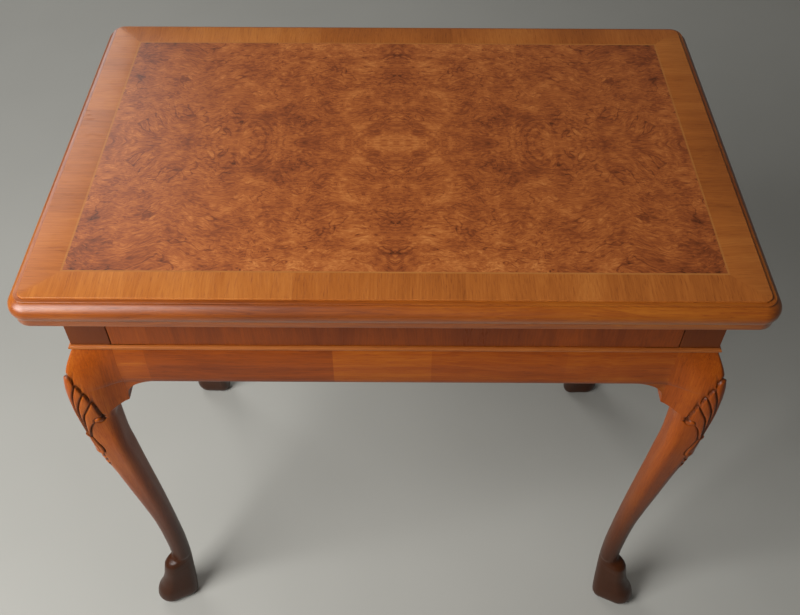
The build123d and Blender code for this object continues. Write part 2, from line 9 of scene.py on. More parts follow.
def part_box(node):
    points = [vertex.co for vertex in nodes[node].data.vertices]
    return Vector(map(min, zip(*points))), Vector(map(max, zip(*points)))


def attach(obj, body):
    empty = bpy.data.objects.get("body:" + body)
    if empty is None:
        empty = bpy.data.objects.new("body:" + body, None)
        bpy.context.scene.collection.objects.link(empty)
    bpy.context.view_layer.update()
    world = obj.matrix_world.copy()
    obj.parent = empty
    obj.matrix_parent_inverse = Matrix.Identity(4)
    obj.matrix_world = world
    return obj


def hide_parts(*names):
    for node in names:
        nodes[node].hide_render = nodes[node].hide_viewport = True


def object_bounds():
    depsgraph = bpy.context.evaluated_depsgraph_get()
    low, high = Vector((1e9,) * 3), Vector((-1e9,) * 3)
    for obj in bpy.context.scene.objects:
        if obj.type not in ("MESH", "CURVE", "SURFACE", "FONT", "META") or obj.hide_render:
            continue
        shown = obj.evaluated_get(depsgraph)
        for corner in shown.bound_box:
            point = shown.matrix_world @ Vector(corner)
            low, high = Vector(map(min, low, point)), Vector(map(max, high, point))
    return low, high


# The looks of a walnut games table with cabriole legs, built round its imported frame. Everything is in metres, +Z
# is up, the front faces -Y and the origin is on the floor under the middle of the table.

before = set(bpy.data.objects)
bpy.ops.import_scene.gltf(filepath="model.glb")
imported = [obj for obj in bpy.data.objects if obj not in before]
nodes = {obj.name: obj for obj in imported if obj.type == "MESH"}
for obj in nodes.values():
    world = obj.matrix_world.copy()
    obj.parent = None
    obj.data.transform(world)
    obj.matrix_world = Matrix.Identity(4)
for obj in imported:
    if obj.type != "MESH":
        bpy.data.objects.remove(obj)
cad_low, cad_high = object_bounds()
MM = 0.001

SIDES = ("front", "back", "left", "right")
CORNERS = {
    "front_left": (-1, -1),
    "front_right": (1, -1),
    "back_left": (-1, 1),
    "back_right": (1, 1),
}

# ---------------------------------------------------------------- sizes read from the frame

apron_low, apron_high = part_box("apron_front")
side_low, side_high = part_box("apron_right")
bead_low, bead_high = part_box("waist_bead_front")
leg_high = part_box("leg_front_right")[1]
block_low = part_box("knee_block_front_right_front_face")[0]
field_low, field_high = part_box("top_core")
string_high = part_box("stringing")[1]
moulding_low, moulding_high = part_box("edge_moulding_front")

INNER_X, INNER_Y = apron_high.x, side_high.y
FACE_X, FACE_Y = side_high.x, -apron_low.y
BACK_X = side_low.x
POST = FACE_X - INNER_X
POST_X, POST_Y = FACE_X - POST / 2, FACE_Y - POST / 2
BOARD = FACE_X - BACK_X
APRON_UNDER, APRON_TOP = apron_low.z, apron_high.z
KNEE_TOP, BEAD_RADIUS = bead_low.z, (bead_high.z - bead_low.z) / 2
KNEE_NOSE, BLOCK_INNER = block_low.z, block_low.x
FRAME_TOP = leg_high.z
FIELD_X, FIELD_Y = field_high.x, field_high.y
TABLE_TOP, VENEER_UNDER, CORE_UNDER = cad_high.z, field_high.z, field_low.z
STRING_X = string_high.x
BAND_TOP, TOP_UNDER = moulding_high.z, moulding_low.z
REACH = cad_high.x - FIELD_X
TONGUE = FIELD_Y + moulding_high.y
FIELD_CORNER = 9 * MM

# ---------------------------------------------------------------- mesh helpers


def smooth(value):
    """Smoothstep: 3t^2 - 2t^3 of the value held between 0 and 1."""
    held = np.clip(value, 0, 1)
    return held * held * (3 - 2 * held)


def hump(distance, width):
    """A bell: e to the power of minus the square of distance over width."""
    return np.exp(-((distance / width) ** 2))


def flowing(places, knots, values):
    """A curve through knots that never overshoots them: cubic Hermite pieces whose slope at a knot is the harmonic
    mean of the slopes on its two sides, or 0 where these disagree in sign."""
    knots, values = np.asarray(knots, float), np.asarray(values, float)
    slopes = np.diff(values) / np.diff(knots)
    before, after = slopes[:-1], slopes[1:]
    agree = before * after > 0
    inner = np.where(agree, 2 * before * after / np.where(agree, before + after, 1), 0)
    tangents = np.concatenate([slopes[:1], inner, slopes[-1:]])
    held = np.clip(places, knots[0], knots[-1])
    span = np.clip(np.searchsorted(knots, held, side="right") - 1, 0, len(slopes) - 1)
    width = np.diff(knots)[span]
    t = (held - knots[span]) / width
    start = (2 * t**3 - 3 * t**2 + 1) * values[span] + (t**3 - 2 * t**2 + t) * width * tangents[span]
    return start + (3 * t**2 - 2 * t**3) * values[span + 1] + (t**3 - t**2) * width * tangents[span + 1]


def arc(centre, radius, first, last, count):
    """Points (count, 2) round a centre, from the angle `first` to `last`, in degrees."""
    turn = np.radians(np.linspace(first, last, count))
    return np.stack([centre[0] + radius * np.cos(turn), centre[1] + radius * np.sin(turn)], axis=-1)


def skin(sections):
    """Closes a tube: sections (sections, points, 3) are closed outlines, joined by four-sided faces, with one
    many-sided face on each end. Returns the vertices and the faces."""
    count, points = sections.shape[:2]
    grid = np.arange(count * points).reshape(count, points)
    ahead = np.roll(grid, -1, axis=1)
    sides = np.stack([grid[:-1], ahead[:-1], ahead[1:], grid[1:]], axis=-1).reshape(-1, 4)
    return sections.reshape(-1, 3), sides.tolist() + [grid[0][::-1].tolist(), grid[-1].tolist()]


def piece(name, sections, body, node, slot, material, sharp=35, **values):
    """A closed, smooth-shaded object made from sections, with its folds over `sharp` degrees kept crisp. It rides on a
    body and stands for a node. `values` are further numbers kept at each vertex for its material."""
    vertices, faces = skin(sections)
    mesh = bpy.data.meshes.new(name)
    mesh.from_pydata(vertices.tolist(), [], faces)
    shape = bmesh.new()
    shape.from_mesh(mesh)
    bmesh.ops.recalc_face_normals(shape, faces=shape.faces)
    shape.to_mesh(mesh)
    shape.free()
    mesh.shade_smooth()
    mesh.set_sharp_from_angle(angle=math.radians(sharp))
    for label, numbers in values.items():
        layer = mesh.attributes.new(label, "FLOAT", "POINT")
        layer.data.foreach_set("value", np.asarray(numbers, np.float32).ravel())
    mesh.materials.append(material)
    thing = bpy.data.objects.new(name, mesh)
    bpy.context.scene.collection.objects.link(thing)
    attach(thing, body)
    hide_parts(node)
    return thing


def turned(side, along, out, up):
    """Places (along, out, up) on a side of the table: along runs to the right as seen from outside, out is away from
    the middle, up is the height."""
    places = {
        "front": (along, -out, up),
        "back": (-along, out, up),
        "left": (-out, -along, up),
        "right": (out, along, up),
    }
    return np.stack(np.broadcast_arrays(*places[side]), axis=-1)


def mitred_run(outline, side, half_x, half_y, corner=0.0, turns=9):
    """Carries a closed outline of (out, up) points along one side of a rounded rectangle, from the middle of one corner
    to the middle of the next. A point `out` beyond the rectangle follows the concentric rectangle whose corners have
    the radius corner + out, or are square where that is below 0 or where corner is 0."""
    half_along, half_out = (half_x, half_y) if side in ("front", "back") else (half_y, half_x)
    out, up = outline[:, 0], outline[:, 1]
    radius = np.maximum(out + corner, 0) if corner else np.zeros_like(out)
    shift = out + corner - radius
    quarter = np.radians(np.linspace(0, 45, turns))
    lean = np.concatenate([-quarter[::-1], quarter])[:, None]
    end = np.repeat([-1.0, 1.0], turns)[:, None]
    along = end * (half_along - corner + shift) + radius * np.sin(lean)
    away = half_out - corner + shift + radius * np.cos(lean)
    return turned(side, along, away, np.broadcast_to(up, along.shape))


# ---------------------------------------------------------------- shader helpers


class Reading:
    """A number that a material works out at each point. Python's arithmetic on it adds the Math nodes."""

    def __init__(self, finish, socket):
        self.finish = finish
        self.socket = socket

    def maths(self, operation, *given):
        return self.finish.node("Math", {"operation": operation}, dict(enumerate(given)))

    def __add__(self, other):
        return self.maths("ADD", self, other)

    def __radd__(self, other):
        return self.maths("ADD", other, self)

    def __sub__(self, other):
        return self.maths("SUBTRACT", self, other)

    def __rsub__(self, other):
        return self.maths("SUBTRACT", other, self)

    def __mul__(self, other):
        return self.maths("MULTIPLY", self, other)

    def __rmul__(self, other):
        return self.maths("MULTIPLY", other, self)

    def __truediv__(self, other):
        return self.maths("DIVIDE", self, other)

    def __pow__(self, other):
        return self.maths("POWER", self, other)

    def __abs__(self):
        return self.maths("ABSOLUTE", self)

    def sine(self):
        return self.maths("SINE", self)

    def over(self, limit):
        """1 where the number is over the limit, otherwise 0."""
        return self.maths("GREATER_THAN", self, limit)

    def rise(self, low, high):
        """0 below low, 1 above high, and a smooth step between."""
        return self.finish.node(
            "MapRange", {"interpolation_type": "SMOOTHSTEP"}, {"Value": self, "From Min": low, "From Max": high}
        )


def sheen(red, green, blue):
    """A colour given on the 0 to 255 scale, as the linear light that a shader takes."""
    return tuple(((c / 255 + 0.055) / 1.055) ** 2.4 if c > 10 else c / 255 / 12.92 for c in (red, green, blue)) + (1,)


class Finish:
    """One material and the nodes in it."""

    def __init__(self, name):
        self.material = bpy.data.materials.new(name)
        self.material.use_nodes = True
        self.tree = self.material.node_tree
        self.tree.nodes.clear()
        self.place = self.node("TexCoord", output="Object")

    def node(self, kind, settings=None, inputs=None, output=0):
        """Adds a node of a kind, makes its settings, then fills its sockets with values or readings."""
        made = self.tree.nodes.new("ShaderNode" + kind)
        for key, setting in (settings or {}).items():
            if key == "stops":
                for spare in range(len(setting) - 2):
                    made.color_ramp.elements.new(0.5)
                for element, (position, colour) in zip(made.color_ramp.elements, setting):
                    element.position = position
                    element.color = colour
            else:
                setattr(made, key, setting)
        for key, given in (inputs or {}).items():
            if isinstance(given, Reading):
                self.tree.links.new(given.socket, made.inputs[key])
            else:
                made.inputs[key].default_value = given
        return Reading(self, made.outputs[output]) if made.outputs else None

    def axes(self, place=None):
        """The x, y and z of a place, as three readings."""
        return [self.node("SeparateXYZ", inputs={0: place or self.place}, output=axis) for axis in range(3)]

    def scaled(self, place, by):
        """A place with each of its axes multiplied."""
        return self.node("VectorMath", {"operation": "MULTIPLY"}, {0: place, 1: by})

    def moved(self, place, by):
        return self.node("VectorMath", {"operation": "ADD"}, {0: place, 1: by})

    def noise(self, place, scale, detail=2.0, roughness=0.5, distortion=0.0, output=0):
        given = {"Vector": place, "Scale": scale, "Detail": detail, "Roughness": roughness, "Distortion": distortion}
        return self.node("TexNoise", inputs=given, output=output)

    def warped(self, place, scale, amount, detail=2.0):
        """A place pushed about by noise, up to half of amount each way."""
        push = self.noise(place, scale, detail, output=1)
        centred = self.moved(push, (-0.5, -0.5, -0.5))
        return self.moved(place, self.scaled(centred, (amount, amount, amount)))

    def ramp(self, factor, *stops):
        return self.node("ValToRGB", {"stops": stops}, {0: factor})

    def mix(self, factor, first, second, mode="MIX"):
        """Two colours mixed."""
        return self.node("Mix", {"data_type": "RGBA", "blend_type": mode}, {0: factor, 6: first, 7: second}, output=2)

    def surface(self, colour, roughness, relief=None, depth=0.0, strength=1.0, **constants):
        """The shader itself: what changes over the surface comes as readings, the rest as constants."""
        given = {"Base Color": colour, "Roughness": roughness}
        if relief is not None:
            given["Normal"] = self.node("Bump", inputs={"Strength": strength, "Distance": depth, "Height": relief})
        given.update({key.replace("_", " "): value for key, value in constants.items()})
        shader = self.node("BsdfPrincipled", inputs=given)
        self.node("OutputMaterial", inputs={"Surface": shader})
        return self.material


# ---------------------------------------------------------------- wood
# Each wood's stops are (tone, colour) pairs. A table of leaves gives the places, in metres, of the joints between
# strips of veneer.

AXES = {"x": 0, "y": 1, "z": 2}


def lengthwise(grain, along, across):
    """Three multipliers, with `along` on the grain's axis and `across` on the other two."""
    return tuple(along if axis == AXES[grain] else across for axis in range(3))


def timber_tone(finish, grain, place=None, figure=1.0):
    """The figure of straight-grained wood between 0 and 1: broad clouds, growth rings that wander, fine fibres, and
    pores, which come back as a second reading."""
    place = place or finish.place
    wander = finish.warped(place, 5.0, 0.03)
    clouds = finish.noise(finish.scaled(place, lengthwise(grain, 3.0, 9.0)), 1.0, 3.0)
    rings = finish.noise(finish.scaled(wander, lengthwise(grain, 2.0, 75.0)), 1.0, 3.0, 0.6)
    fibres = finish.noise(finish.scaled(wander, lengthwise(grain, 22.0, 620.0)), 1.0, 2.0)
    pores = finish.noise(finish.scaled(place, lengthwise(grain, 75.0, 1500.0)), 1.0, 1.0).rise(0.6, 0.72)
    tone = 0.5 + (clouds - 0.5) * (0.9 * figure) + (rings - 0.5) * (0.55 * figure) + (fibres - 0.5) * 0.42
    return tone - pores * 0.2, pores


WALNUT = ((0.12, sheen(104, 40, 4)), (0.5, sheen(150, 68, 8)), (0.9, sheen(186, 102, 22)))


def timber(name, grain, stops, roughness=0.36, figure=1.0, leaves=None, coat=0.08, gloss=0.18, shade=None):
    """Polished straight-grained wood. `leaves` gives (axis, where, lighter by) for joints between strips of veneer, and
    `shade` is a function that takes the finish and its colour and returns a darker or richer one. `coat` is how much
    polish lies on it, and `gloss` is how rough that polish is."""
    finish = Finish(name)
    tone, pores = timber_tone(finish, grain, figure=figure)
    for axis, where, change in leaves or ():
        tone = tone + finish.axes()[AXES[axis]].over(where) * change
    colour = finish.ramp(tone, *stops)
    if shade:
        colour = shade(finish, colour)
    rough = roughness + (tone - 0.5) * 0.06 + pores * 0.12
    return finish.surface(
        colour,
        rough,
        tone - pores,
        0.0001,
        0.4,
        Coat_Weight=coat,
        Coat_Roughness=gloss,
        IOR=1.38,
        Specular_IOR_Level=0.35,
    )


def leg_stain_and_painted_shade(finish, colour):
    """Colour painted onto the leg: the carving's cuts near black, painted shade in their hollows with some stain; the
    lower leg and foot darker, partly stain and partly painted shade of the low light there; and the post above the knee
    darker, painted shade under the top's overhang.
    """
    cuts = finish.node("Attribute", {"attribute_name": "cut"}, output=2)
    height = finish.axes()[2]
    # The lower leg and foot turn darker: partly stain, partly painted shade of the low light near the floor.
    lower = 1 - height.rise(0.06, 0.5)
    darker = finish.mix(lower * 0.92, colour, sheen(44, 22, 8))
    # The post above the knee is painted darker: painted shade under the top's overhang.
    darker = finish.mix(height.over(KNEE_TOP) * 0.8, darker, sheen(86, 36, 4))
    # The carving's cuts are painted near black: painted shade in the hollows, with some stain.
    return finish.mix(cuts * 0.85, darker, sheen(26, 9, 4))


def apron_shade(finish, colour):
    """A darker tone low down."""
    height = finish.axes()[2]
    return finish.mix((1 - height.rise(APRON_UNDER, APRON_UNDER + 0.03)) * 0.25, colour, sheen(80, 34, 12))


walnut_x = timber("walnut_lengthwise", "x", WALNUT, 0.3)
walnut_y = timber("walnut_fore_and_aft", "y", WALNUT, 0.3)
walnut_z = timber("walnut_upright", "z", WALNUT)
MOULDING = ((0.12, sheen(98, 40, 4)), (0.5, sheen(144, 70, 8)), (0.9, sheen(182, 106, 24)))
moulding_x = timber("moulding_walnut_x", "x", MOULDING, 0.34, coat=0.8, gloss=0.34)
moulding_y = timber("moulding_walnut_y", "y", MOULDING, 0.34, coat=0.8, gloss=0.34)
leg_walnut = timber("leg_walnut", "z", WALNUT, 0.36, 0.7, shade=leg_stain_and_painted_shade)
apron_x = timber(
    "apron_walnut_front",
    "x",
    WALNUT,
    0.36,
    1.1,
    (("x", -0.273, -0.12), ("x", -0.068, 0.22), ("x", 0.04, -0.12), ("x", 0.188, 0.05)),
    shade=apron_shade,
)
apron_y = timber("apron_walnut_side", "y", WALNUT, 0.36, 1.1, shade=apron_shade)
BAND_TONES = ((0.05, sheen(118, 58, 20)), (0.5, sheen(166, 94, 38)), (0.95, sheen(198, 126, 58)))
band_y = timber(
    "crossband_end_grain_y",
    "y",
    BAND_TONES,
    0.3,
    0.7,
    (("x", -0.31, 0.1), ("x", -0.1, -0.16), ("x", 0.07, 0.1), ("x", 0.21, -0.12)),
)
band_x = timber("crossband_end_grain_x", "x", BAND_TONES, 0.3, 0.7, (("y", -0.12, -0.08), ("y", 0.06, 0.1)))
FRIEZE_TONES = ((0.1, sheen(112, 46, 4)), (0.5, sheen(146, 66, 8)), (0.95, sheen(184, 98, 20)))
frieze_front = timber(
    "frieze_crossband",
    "z",
    FRIEZE_TONES,
    0.3,
    0.9,
    (("x", -0.264, -0.22), ("x", 0.05, -0.08), ("x", 0.248, 0.08)),
)
stringing_wood = timber(
    "stringing_boxwood", "x", ((0.2, sheen(156, 92, 40)), (0.8, sheen(184, 120, 60))), 0.36, 0.5
)
bead_wood = timber(
    "bead_walnut", "x", ((0.2, sheen(136, 66, 26)), (0.8, sheen(182, 108, 50))), 0.3, 0.8
)
OAK = ((0.1, sheen(130, 92, 56)), (0.5, sheen(172, 132, 88)), (0.9, sheen(200, 164, 118)))
oak_x = timber("oak_lengthwise", "x", OAK, 0.6, coat=0.0)
oak_y = timber("oak_fore_and_aft", "y", OAK, 0.6, coat=0.0)
oak_z = timber("oak_upright", "z", OAK, 0.6, coat=0.0)


ARCH_CENTRE = (0.182, 0.0, TABLE_TOP)


def burl():
    """Book-matched burl: four leaves mirrored about both middle lines, with drifting clouds, short wavy fibres, thin
    dark lines, pin knots in clusters, and an arched figure in each leaf."""
    finish = Finish("burl_walnut")
    mirrored = finish.node("VectorMath", {"operation": "ABSOLUTE"}, {0: finish.place})
    drift = finish.warped(mirrored, 9.0, 0.06)
    swirl = finish.warped(drift, 55.0, 0.016, 3.0)
    clouds = finish.noise(drift, 34.0, 5.0, 0.68)
    patches = finish.noise(drift, 6.0, 2.0)
    fibres = finish.noise(finish.scaled(swirl, (150, 560, 1)), 1.0, 3.0, 0.62)
    hairs = finish.noise(finish.scaled(swirl, (300, 1500, 1)), 1.0, 2.0)
    # Thin dark lines that run like contours, thickest in patches.
    contours = abs(finish.noise(drift, 15.0, 3.0, 0.6) - 0.5)
    veins = (1 - contours.rise(0.001, 0.012)) * finish.noise(drift, 24.0, 1.0).rise(0.4, 0.62)
    # The arches: rings about a point on the seam between the front and the back leaf.
    away = finish.node("VectorMath", {"operation": "DISTANCE"}, {0: drift, 1: ARCH_CENTRE}, output=1)
    arches = ((away * 420).sine() ** 6) * (1 - away.rise(0.04, 0.075)) * away.rise(0.012, 0.025)
    knots = finish.node("TexVoronoi", inputs={"Vector": swirl, "Scale": 210.0})
    clusters = finish.noise(mirrored, 21.0, 2.0).rise(0.5, 0.64)
    pins = (1 - knots.rise(0.06, 0.24)) * clusters
    tone = 0.52 + (clouds - 0.5) * 1.05 + (patches - 0.5) * 0.5 + (fibres - 0.5) * 1.0 + (hairs - 0.5) * 0.45
    tone = tone - veins * 0.24 - arches * 0.1 - pins * 0.42
    colour = finish.ramp(
        tone,
        (0.05, sheen(84, 38, 12)),
        (0.35, sheen(134, 66, 28)),
        (0.6, sheen(168, 92, 40)),
        (0.95, sheen(206, 132, 68)),
    )
    rough = 0.36 + (fibres - 0.5) * 0.08
    return finish.surface(colour, rough, tone, 0.00008, 0.35, Coat_Weight=0.16, Coat_Roughness=0.3, IOR=1.4)


burl_wood = burl()


def hide(name, colour, darker):
    """Gaming leather: a fine pebbled grain with soft wear."""
    finish = Finish(name)
    pebbles = finish.node("TexVoronoi", inputs={"Vector": finish.place, "Scale": 900.0})
    wear = finish.noise(finish.place, 16.0, 4.0, 0.6)
    shade = finish.mix(wear, darker, colour)
    return finish.surface(shade, 0.5 + wear * 0.12, pebbles, 0.0002, 0.35)


def baize():
    """Woven wool cloth with a short nap."""
    finish = Finish("green_baize")
    nap = finish.noise(finish.place, 2600.0, 2.0)
    lay = finish.noise(finish.place, 22.0, 3.0)
    colour = finish.mix(nap * 0.6 + lay * 0.4, sheen(16, 52, 32), sheen(44, 96, 62))
    return finish.surface(colour, 0.95, nap, 0.0005, 0.6, Sheen_Weight=0.4)


def steel():
    """Turned steel with fine smudges."""
    finish = Finish("screw_steel")
    smudge = finish.noise(finish.place, 300.0, 3.0)
    colour = finish.mix(smudge, sheen(130, 130, 128), sheen(178, 178, 174))
    return finish.surface(colour, 0.3 + smudge * 0.15, smudge, 0.0001, Metallic=1.0)


def glide_plastic():
    """Pale moulded plastic, scuffed underneath."""
    finish = Finish("glide_plastic")
    scuffs = finish.noise(finish.scaled(finish.place, (40, 400, 400)), 1.0, 3.0)
    colour = finish.mix(scuffs, sheen(176, 172, 164), sheen(214, 212, 206))
    return finish.surface(colour, 0.4 + scuffs * 0.2, scuffs, 0.0001, 0.4)


field_leather = hide("field_leather", sheen(58, 82, 52), sheen(34, 54, 34))
light_leather = hide("point_light_leather", sheen(196, 164, 112), sheen(164, 130, 84))
dark_leather = hide("point_dark_leather", sheen(112, 42, 32), sheen(80, 28, 22))

NODE_FINISHES = {
    "burl_veneer": burl_wood,
    "stringing": stringing_wood,
    "top_core": oak_x,
    "locating_pegs": oak_z,
    "frieze_back": walnut_z,
    "frieze_left": walnut_z,
    "frieze_right": walnut_z,
    "drawer_top_rail": walnut_x,
    "drawer_front_veneer": frieze_front,
    "drawer_front": walnut_x,
    "drawer_back": oak_x,
    "drawer_bottom": oak_y,
    "drawer_side": oak_y,
    "drawer_lining": baize(),
    "drawer_runner": oak_y,
    "corner_braces": oak_x,
    "brace_screws": steel(),
    "foot_glides": glide_plastic(),
    "well_floor": oak_x,
    "well_liner_front": walnut_x,
    "well_liner_back": walnut_x,
    "well_liner_left": walnut_y,
    "well_liner_right": walnut_y,
    "well_bar": walnut_y,
    "field_lining": field_leather,
    "points_light": light_leather,
    "points_dark": dark_leather,
}
for name, node in nodes.items():
    matches = [prefix for prefix in NODE_FINISHES if name.startswith(prefix)]
    if matches:
        node.data.materials.clear()
        node.data.materials.append(NODE_FINISHES[max(matches, key=len)])

# ---------------------------------------------------------------- top

BAND = 5 * MM
NOSE_RADIUS = 12.2 * MM
NOSE_TOP = BAND_TOP - 1.5 * MM
NOSE_CENTRE = (REACH - NOSE_RADIUS, NOSE_TOP - NOSE_RADIUS)
FILLET_OUT = REACH - 3.5 * MM
SOFT = 0.6 * MM


def nose_angle(out):
    """The angle at which the bullnose passes a distance out, in degrees."""
    return math.degrees(math.acos((out - NOSE_CENTRE[0]) / NOSE_RADIUS))


# The moulding's outline from its tongue under the core: the flat band beside the field, a small quirk, the bullnose
# and the fillet under it.
moulding_outline = np.concatenate(
    [
        [(-TONGUE, TOP_UNDER), (-TONGUE, CORE_UNDER), (0, CORE_UNDER), (0, BAND_TOP)],
        arc((BAND - SOFT, BAND_TOP - SOFT), SOFT, 90, 0, 5),
        arc(NOSE_CENTRE, NOSE_RADIUS, nose_angle(BAND), -nose_angle(FILLET_OUT), 28),
        arc((FILLET_OUT - SOFT, TOP_UNDER + SOFT), SOFT, 0, -90, 4),
    ]
)
ARRIS = 0.8 * MM
LIP = 0.25 * MM
crossband_outline = np.concatenate(
    [
        [(STRING_X - FIELD_X, VENEER_UNDER), (STRING_X - FIELD_X, TABLE_TOP)],
        arc((LIP - ARRIS, TABLE_TOP - ARRIS), ARRIS, 90, 0, 6),
        [(LIP, BAND_TOP + 0.02 * MM), (0.02 * MM, BAND_TOP + 0.02 * MM), (0.02 * MM, VENEER_UNDER)],
    ]
)
BEAD_MIDDLE = KNEE_TOP + BEAD_RADIUS
bead_outline = arc((0, BEAD_MIDDLE), BEAD_RADIUS, -90, 90, 15)

for side in SIDES:
    lengthways = side in ("front", "back")
    moulding_run = mitred_run(moulding_outline, side, FIELD_X, FIELD_Y, FIELD_CORNER)
    piece(f"edge_moulding_run_{side}", moulding_run, "top", f"edge_moulding_{side}", "walnut",
          moulding_x if lengthways else moulding_y)
    band_run = mitred_run(crossband_outline, side, FIELD_X, FIELD_Y, FIELD_CORNER)
    piece(f"crossband_run_{side}", band_run, "top", f"crossband_{side}", "crossband_walnut",
          band_y if lengthways else band_x)
    bead_run = mitred_run(bead_outline, side, FACE_X, FACE_Y)
    piece(f"waist_bead_run_{side}", bead_run, "frame", f"waist_bead_{side}", "walnut_bead", bead_wood)

# ---------------------------------------------------------------- legs

# The cabriole leg from the bead down to the sole, in millimetres: the height, how far the outer faces stand from the
# middle of the post, and the radius of the corner between them.
OUTER_STATIONS = (
    (104, 11.8, 12.4),
    (120, 11.5, 12.4),
    (158, 12.4, 12.6),
    (212, 14.9, 12.8),
    (268, 19.8, 13),
    (321, 25.2, 13.2),
    (369, 29.9, 13.2),
    (419, 35.2, 12.6),
    (460, 38.6, 12),
    (497, 39.8, 11),
    (533, 40.7, 10),
    (552, 40.4, 9.5),
    (570, 39.2, 8),
    (586, 36.8, 6.5),
    (600, 32.8, 4.5),
    (612, 27.6, 2.5),
    (623.5, 22.0, 1.5),
)
# The inner faces of the leg: the height, and how far they stand outward of the middle of the post.
INNER_STATIONS = (
    (104, -15.4),
    (143, -15.2),
    (195, -13.6),
    (245, -11.6),
    (293, -9.4),
    (338, -7.0),
    (382, -4.6),
    (421, -2.7),
    (460, -0.8),
    (505, -0.6),
    (520, -3.0),
    (526, -8.0),
    (530, -14.0),
    (533, -21.5),
)
# The radii of the leg's two side corners and of its inner corner, in millimetres: heights, then radii.
EDGE_RADII = ((104, 480, 521, 530, 533), (12.6, 11, 7, 1.2, 0.3))
INNER_RADII = ((104, 480, 521, 533), (12.4, 11, 8, 0.5))
# The foot, in millimetres from the middle of the post: the height, then the middle and the radius of the heel's round
# and of the toe's round. It points more sideways than forward, and its top steps out from the ankle.
FOOT_STATIONS = (
    (2, 0.0, 10.0, 10.0, 24.0, 15.5, 14.5),
    (6, 0.0, 10.0, 12.8, 26.0, 16.0, 18.4),
    (14, -0.2, 9.5, 14.0, 26.6, 16.2, 20.2),
    (26, -0.4, 8.0, 14.2, 25.0, 15.6, 19.4),
    (42, -0.8, 5.4, 14.2, 19.6, 13.2, 16.8),
    (60, -1.0, 3.0, 14.1, 15.4, 10.6, 14.8),
    (78, -1.3, 0.4, 14.0, 13.0, 9.2, 13.8),
    (90, -1.6, -1.0, 13.8, 11.4, 8.0, 13.0),
    (96, -1.8, -1.7, 13.7, 7.6, 5.0, 12.4),
    (100, -1.8, -1.8, 13.6, 1.0, 0.4, 12.8),
    (104, -1.8, -1.8, 13.6, -1.8, -1.8, 13.5),
)
# The apron's face, in millimetres: heights, and how far it stands beyond the frame's face there.
APRON_SWELL = ((566, 569, 575, 598, 615, 623.5), (0.6, 2.2, 3.0, 3.0, 1.8, 0.3))


def swell(height):
    """How far the apron's face stands beyond the frame's face, in metres, at a height in metres."""
    return flowing(height / MM, *APRON_SWELL) * MM


def outer_face(height):
    """How far the knee's outer faces stand from the middle of the post, in metres."""
    return column(OUTER_STATIONS, height)[0]


KNEE_START = 31 * MM
KNEE_END = POST / 2 + 6 * MM
KNEE_EASE = 1.2


def fallen(run, height):
    """How far the knee's face has fallen back toward the apron's face at a place `run` outward of the middle of the
    post: the difference between the two faces times (1 - cos(pi t^1.2)) / 2, where t goes from 0 by the corner to 1
    just past the leg's inner side."""
    t = np.clip((KNEE_START - run) / (KNEE_START + KNEE_END), 0, 1) ** KNEE_EASE
    return (outer_face(height) - POST / 2 - swell(height)) * (1 - np.cos(math.pi * t)) / 2


def leg_outline(out_x, in_x, out_y, in_y, corner, edge, inner):
    """Rounded rectangles (heights, points, 2), from the middle of the inner corner round over the arris and back, with
    the direction that each point faces (heights, points, 2)."""

    def fillet(centre_x, centre_y, radius, first, last, count):
        turn = np.radians(np.linspace(first, last, count))[None, :]
        facing = np.stack(np.broadcast_arrays(np.cos(turn), np.sin(turn)), axis=-1) + np.zeros((len(out_x), 1, 1))
        middle = np.stack([centre_x, centre_y], axis=-1)[:, None, :]
        return middle + radius[:, None, None] * facing, facing

    def straight(before, after, direction, count):
        t = np.linspace(0, 1, count + 2)[1:-1][None, :, None]
        points = before[:, -1:, :] * (1 - t) + after[:, :1, :] * t
        return points, np.zeros_like(points) + np.array(direction, float)

    start = fillet(in_x + inner, in_y + inner, inner, 225, 270, 4)
    right = fillet(out_x - edge, in_y + edge, edge, 270, 360, 7)
    arris = fillet(out_x - corner, out_y - corner, corner, 0, 90, 29)
    left = fillet(in_x + edge, out_y - edge, edge, 90, 180, 7)
    finish = fillet(in_x + inner, in_y + inner, inner, 180, 225, 4)
    runs = [
        start,
        straight(start[0], right[0], (0, -1), 5),
        right,
        straight(right[0], arris[0], (1, 0), 42),
        arris,
        straight(arris[0], left[0], (0, 1), 42),
        left,
        straight(left[0], finish[0], (-1, 0), 5),
        finish,
    ]
    return np.concatenate([run[0] for run in runs], axis=1), np.concatenate([run[1] for run in runs], axis=1)


# The knee's carved leaf, in millimetres. Each groove between two lobes runs down to the arris: heights, and distances
# from the arris round the leg. The top edge gives its height at distances from the arris.
LEAF_GROOVES = (
    ((474, 498, 520, 543, 560, 576), (0.8, 1.4, 2.0, 2.8, 4.8, 9.0)),
    ((474, 496, 516, 537, 550, 563), (1.6, 2.8, 4.2, 6.0, 10.0, 16.0)),
    ((474, 494, 510, 523, 536, 547), (2.4, 4.2, 6.2, 9.0, 15.8, 21.6)),
)
LEAF_FOOT = ((472, 485, 495, 505, 511, 516), (3.0, 5.8, 8.4, 13.0, 18.4, 29.0))
LEAF_TOP = (
    (0, 4.2, 7.2, 8.8, 10.2, 13, 15.4, 16.1, 17.2, 18.9, 20.9, 21.6, 22.6, 23.8, 25.2, 27.4, 28.8),
    (591, 588, 584, 576, 575.5, 572, 566, 562, 561.5, 558, 551, 546.5, 546, 543, 534, 520, 512),
)
LEAF_LOW, LEAF_END, LEAF_SIDE = 474, 505, 32
VOLUTE = (23.2, 513.5)
PIT = (28.5, 518)
LOWER_LEAF = ((438, 441, 446, 452, 464, 478, 485), (0.2, 7.0, 10.6, 10.6, 7.8, 4.4, 0.5))
LOWER_TIP, LOWER_ROOT = 438, 485
HUSKS = (438.0, 402.0, 12.0)


